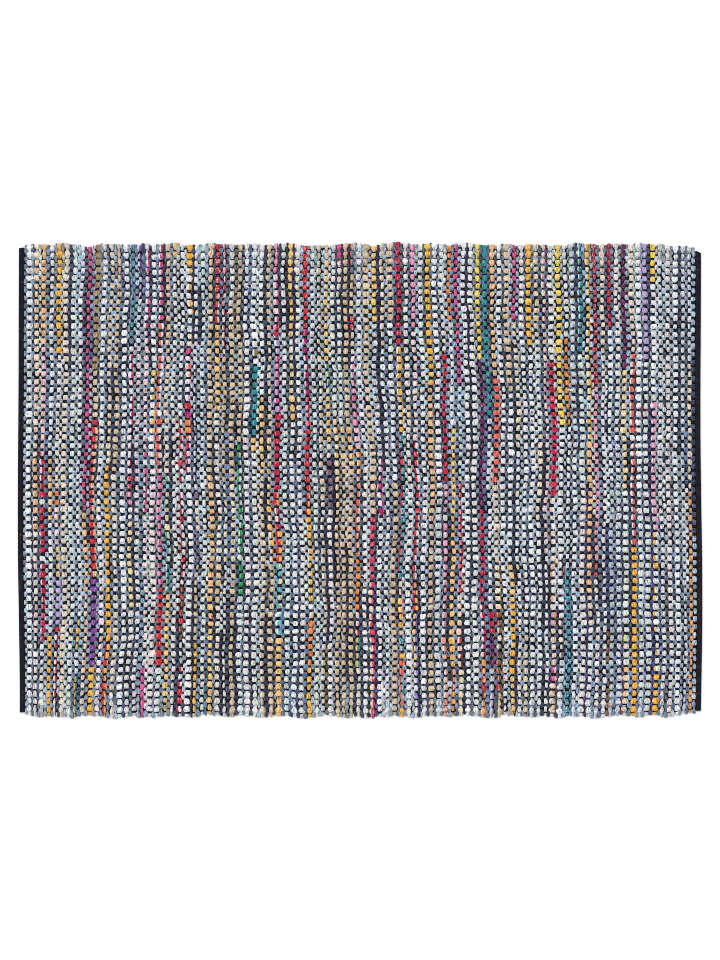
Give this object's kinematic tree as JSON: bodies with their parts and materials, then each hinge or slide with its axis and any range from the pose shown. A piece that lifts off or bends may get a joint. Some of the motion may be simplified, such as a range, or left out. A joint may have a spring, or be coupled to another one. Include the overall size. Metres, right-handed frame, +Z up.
{
  "type": "woven rag rug",
  "caption": "Flat rectangular rag rug: a ribbed woven panel of gathered denim and cotton strips on black warp, with a narrow folded tape over each short end.",
  "frame": {"origin": "centre of the flat underside, on the floor", "axes": "+X along the rug towards its right short end, +Y across it towards its far selvedge, +Z up from the floor"},
  "size_m": [2, 1.376, 0.0085],
  "materials": {
    "denim_rag": "washed indigo denim strips, gathered",
    "cotton_rag": "plain and printed cotton strips, gathered",
    "black_warp": "flat bundles of soft black cotton yarn",
    "black_tape": "matt black woven cotton tape"
  },
  "bodies": {
    "root": {"woven_panel": "denim_rag", "end_binding_left": "black_tape", "end_binding_right": "black_tape"}
  },
  "joints": []
}
